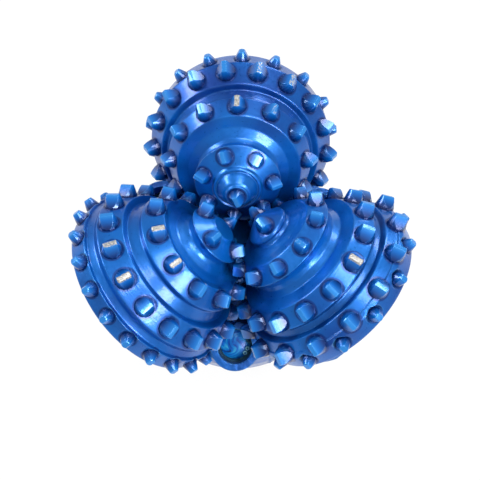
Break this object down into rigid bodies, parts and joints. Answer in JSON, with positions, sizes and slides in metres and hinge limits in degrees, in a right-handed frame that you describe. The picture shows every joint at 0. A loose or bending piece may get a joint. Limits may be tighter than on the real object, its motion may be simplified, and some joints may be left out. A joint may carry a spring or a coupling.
{
  "type": "tricone drill bit",
  "caption": "Roller-cone rock drill bit: toothed cones with carbide inserts turn on legs round a central jetted body, on a tapered threaded pin.",
  "frame": {"origin": "middle of the pin's end face, where the water bore opens", "axes": "+Z along the bit's axis from the pin towards the cones; +Y points at the cone with one nose insert (a); X completes a right-handed frame"},
  "size_m": [0.264, 0.2563, 0.3864],
  "materials": {
    "body_paint": "glossy blue paint, a thread of bare dark phosphated steel at the pin",
    "cone_paint": "glossy blue paint",
    "painted_carbide": "glossy blue paint, worn to bare carbide at the crests",
    "heel_carbide": "glossy blue paint over polished carbide",
    "bearing_bronze": "smooth, oiled",
    "bearing_steel": "ground and polished",
    "plug_steel": "turned",
    "seal_rubber": "matt black",
    "diaphragm_rubber": "matt black",
    "cap_steel": "glossy blue paint over turned steel",
    "spring_steel": "dark spring steel",
    "nozzle_carbide": "smooth carbide with blue paint on its face"
  },
  "bodies": {
    "bit_body": {"leg_a": "body_paint", "leg_b": "body_paint", "leg_c": "body_paint", "ball_plug_a": "plug_steel", "ball_plug_b": "plug_steel", "ball_plug_c": "plug_steel", "reservoir_cap_a": "cap_steel", "reservoir_cap_b": "cap_steel", "reservoir_cap_c": "cap_steel", "reservoir_diaphragm_a": "diaphragm_rubber", "reservoir_diaphragm_b": "diaphragm_rubber", "reservoir_diaphragm_c": "diaphragm_rubber", "nozzle_a": "nozzle_carbide", "nozzle_b": "nozzle_carbide", "nozzle_c": "nozzle_carbide", "nozzle_seals": "seal_rubber", "nozzle_snap_rings": "spring_steel", "reservoir_snap_rings": "spring_steel", "shirttail_compacts": "heel_carbide"},
    "cone_a_set": {"cone_a": "cone_paint", "nose_inserts_a": "painted_carbide", "row1_inserts_a": "painted_carbide", "row2_inserts_a": "painted_carbide", "row3_inserts_a": "painted_carbide", "gauge_inserts_a": "painted_carbide", "heel_compacts_a": "heel_carbide", "journal_bushing_a": "bearing_bronze", "nose_bushing_a": "bearing_bronze", "thrust_button_a": "bearing_steel", "cone_seal_a": "seal_rubber"},
    "balls_a": {"bearing_balls_a": "bearing_steel"},
    "cone_b_set": {"cone_b": "cone_paint", "row1_inserts_b": "painted_carbide", "row2_inserts_b": "painted_carbide", "row3_inserts_b": "painted_carbide", "gauge_inserts_b": "painted_carbide", "heel_compacts_b": "heel_carbide", "journal_bushing_b": "bearing_bronze", "nose_bushing_b": "bearing_bronze", "thrust_button_b": "bearing_steel", "cone_seal_b": "seal_rubber"},
    "balls_b": {"bearing_balls_b": "bearing_steel"},
    "cone_c_set": {"cone_c": "cone_paint", "nose_inserts_c": "painted_carbide", "row1_inserts_c": "painted_carbide", "row2_inserts_c": "painted_carbide", "row3_inserts_c": "painted_carbide", "gauge_inserts_c": "painted_carbide", "heel_compacts_c": "heel_carbide", "journal_bushing_c": "bearing_bronze", "nose_bushing_c": "bearing_bronze", "thrust_button_c": "bearing_steel", "cone_seal_c": "seal_rubber"},
    "balls_c": {"bearing_balls_c": "bearing_steel"}
  },
  "joints": [
    {"name": "cone_a_spin", "type": "hinge", "parent": "bit_body", "child": "cone_a_set", "pos_m": [-0.00445, 0, 0.365], "axis": [0, 0.8261, -0.5635], "continuous": true},
    {"name": "balls_a_spin", "type": "hinge", "parent": "bit_body", "child": "balls_a", "pos_m": [-0.00445, 0, 0.365], "axis": [0, 0.8261, -0.5635], "continuous": true},
    {"name": "cone_b_spin", "type": "hinge", "parent": "bit_body", "child": "cone_b_set", "pos_m": [0.00222, -0.00385, 0.365], "axis": [-0.7154, -0.413, -0.5635], "continuous": true},
    {"name": "balls_b_spin", "type": "hinge", "parent": "bit_body", "child": "balls_b", "pos_m": [0.00222, -0.00385, 0.365], "axis": [-0.7154, -0.413, -0.5635], "continuous": true},
    {"name": "cone_c_spin", "type": "hinge", "parent": "bit_body", "child": "cone_c_set", "pos_m": [0.00222, 0.00385, 0.365], "axis": [0.7154, -0.413, -0.5635], "continuous": true},
    {"name": "balls_c_spin", "type": "hinge", "parent": "bit_body", "child": "balls_c", "pos_m": [0.00222, 0.00385, 0.365], "axis": [0.7154, -0.413, -0.5635], "continuous": true}
  ],
  "couplings": [
    {"joint": "balls_a_spin", "follows": "cone_a_spin", "ratio": 0.6041},
    {"joint": "balls_b_spin", "follows": "cone_b_spin", "ratio": 0.6041},
    {"joint": "balls_c_spin", "follows": "cone_c_spin", "ratio": 0.6041}
  ]
}
